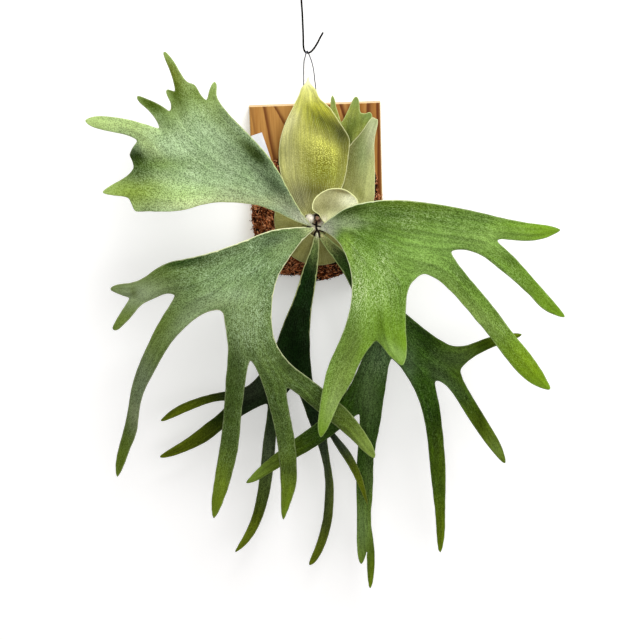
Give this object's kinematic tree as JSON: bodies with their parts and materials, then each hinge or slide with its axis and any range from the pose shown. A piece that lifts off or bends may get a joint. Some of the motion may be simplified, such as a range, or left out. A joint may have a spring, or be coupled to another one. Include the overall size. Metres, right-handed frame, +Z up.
{
  "type": "mounted staghorn fern",
  "caption": "Staghorn fern with forked fronds and overlapping shield fronds over a coir pad, on an upright pine board that hangs from a wire loop and hook.",
  "frame": {"origin": "centre of the board's back face, which lies against the wall", "axes": "+Y out of the board's back into the wall, +Z up, +X to the right as seen from the front"},
  "size_m": [0.6326, 0.1893, 0.8759],
  "materials": {
    "pine_board": "planed pine with a dark slanted grain, oiled matt",
    "coir": "matted brown coir fibre and bark",
    "rhizome_scales": "dry papery scales, dark red-brown",
    "bud_wool": "dense white felt",
    "shield_leaf": "thin leaf, satin, fine lengthwise veins, yellow-green going cream and olive",
    "frond_leaf": "leathery leaf, satin, with a fine white bloom of hairs and a pale margin",
    "steel_wire": "dull zinc-plated",
    "black_wire": "black satin",
    "white_label": "plain white satin"
  },
  "bodies": {
    "root": {"board": "pine_board", "root_pad": "coir", "rhizome": "rhizome_scales", "woolly_bud": "bud_wool", "shield_lower": "shield_leaf", "shield_right_back": "shield_leaf", "shield_right_front": "shield_leaf", "shield_tall": "shield_leaf", "shield_young": "shield_leaf", "frond_upper_left": "frond_leaf", "frond_lower_left": "frond_leaf", "frond_right": "frond_leaf", "frond_centre": "frond_leaf", "frond_lower_right": "frond_leaf", "screw_eye_left": "steel_wire", "screw_eye_right": "steel_wire", "pad_nail_1": "steel_wire", "pad_nail_2": "steel_wire", "pad_nail_3": "steel_wire", "pad_nail_4": "steel_wire", "wire_loop": "steel_wire", "hanging_hook": "black_wire", "plant_tag": "white_label"}
  },
  "joints": []
}
